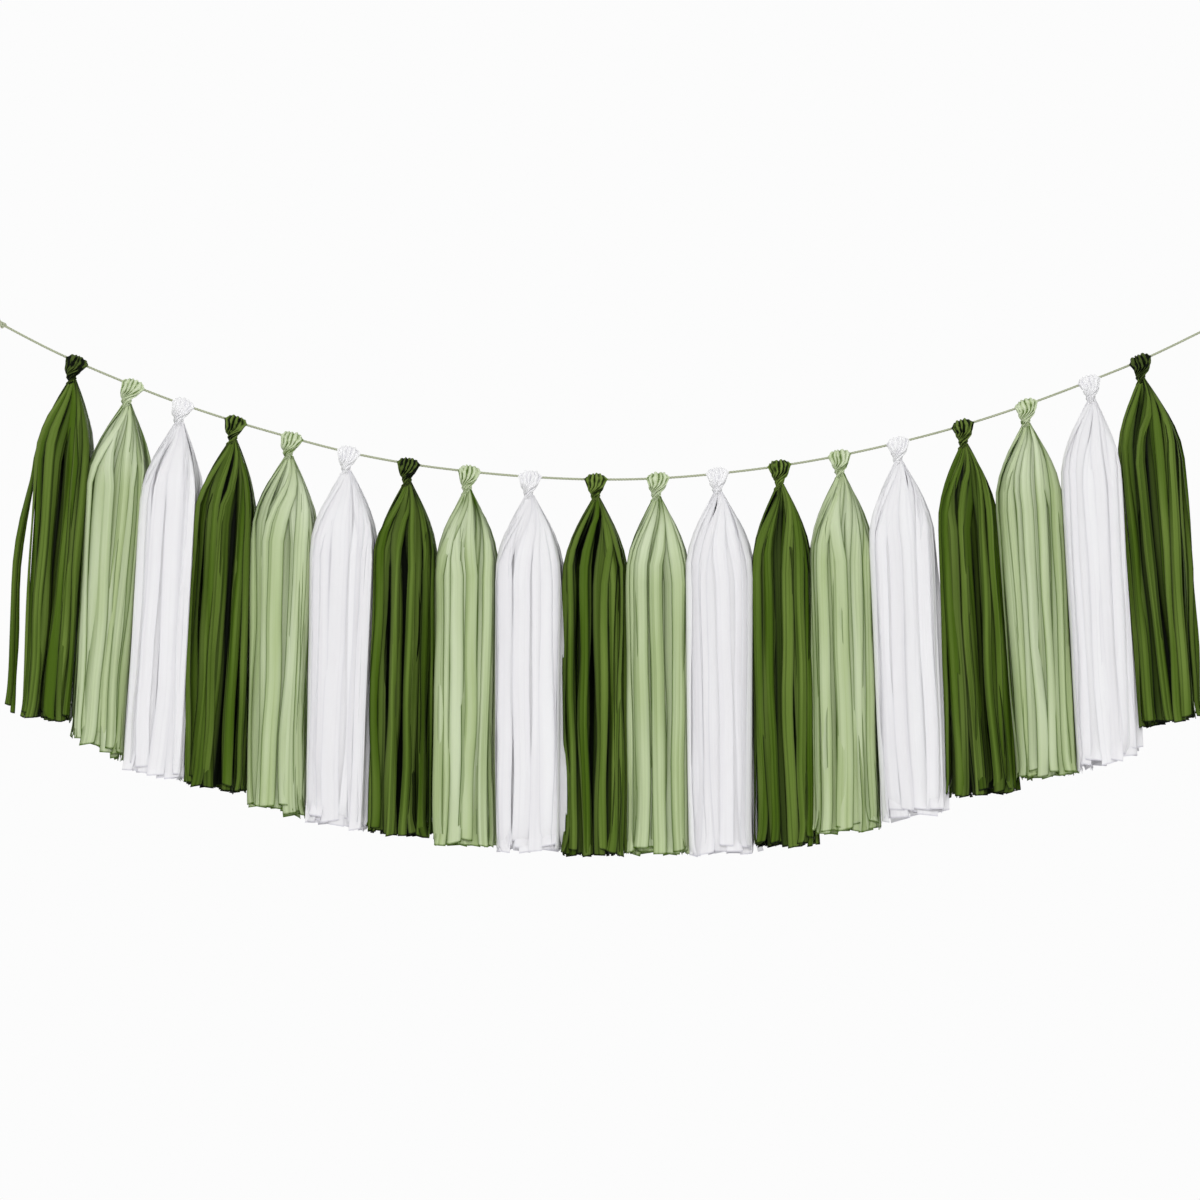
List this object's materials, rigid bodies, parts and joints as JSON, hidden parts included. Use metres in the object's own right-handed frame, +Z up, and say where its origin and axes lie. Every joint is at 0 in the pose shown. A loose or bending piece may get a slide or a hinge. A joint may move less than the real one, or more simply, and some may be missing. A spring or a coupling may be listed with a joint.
{
  "type": "tissue paper tassel garland",
  "caption": "Row of tissue paper tassels in dark green, light green and white, each doubled over one sagging string with a tied hanging loop at each end.",
  "frame": {"origin": "middle of the eye of the left hanging loop, where its hook or nail passes through", "axes": "+X along the garland from the left loop to the right one, +Y away from the viewer into the wall, +Z up"},
  "size_m": [1.151, 0.0615, 0.5033],
  "materials": {
    "string": "twisted matte cotton",
    "dark_green_tissue": "matte tissue",
    "light_green_tissue": "matte tissue",
    "white_tissue": "matte tissue"
  },
  "bodies": {
    "root": {"string": "string", "left_end_loop": "string", "right_end_loop": "string", "tassel_01_dark_green": "dark_green_tissue", "tassel_02_light_green": "light_green_tissue", "tassel_03_white": "white_tissue", "tassel_04_dark_green": "dark_green_tissue", "tassel_05_light_green": "light_green_tissue", "tassel_06_white": "white_tissue", "tassel_07_dark_green": "dark_green_tissue", "tassel_08_light_green": "light_green_tissue", "tassel_09_white": "white_tissue", "tassel_10_dark_green": "dark_green_tissue", "tassel_11_light_green": "light_green_tissue", "tassel_12_white": "white_tissue", "tassel_13_dark_green": "dark_green_tissue", "tassel_14_light_green": "light_green_tissue", "tassel_15_white": "white_tissue", "tassel_16_dark_green": "dark_green_tissue", "tassel_17_light_green": "light_green_tissue", "tassel_18_white": "white_tissue", "tassel_19_dark_green": "dark_green_tissue"}
  },
  "joints": []
}
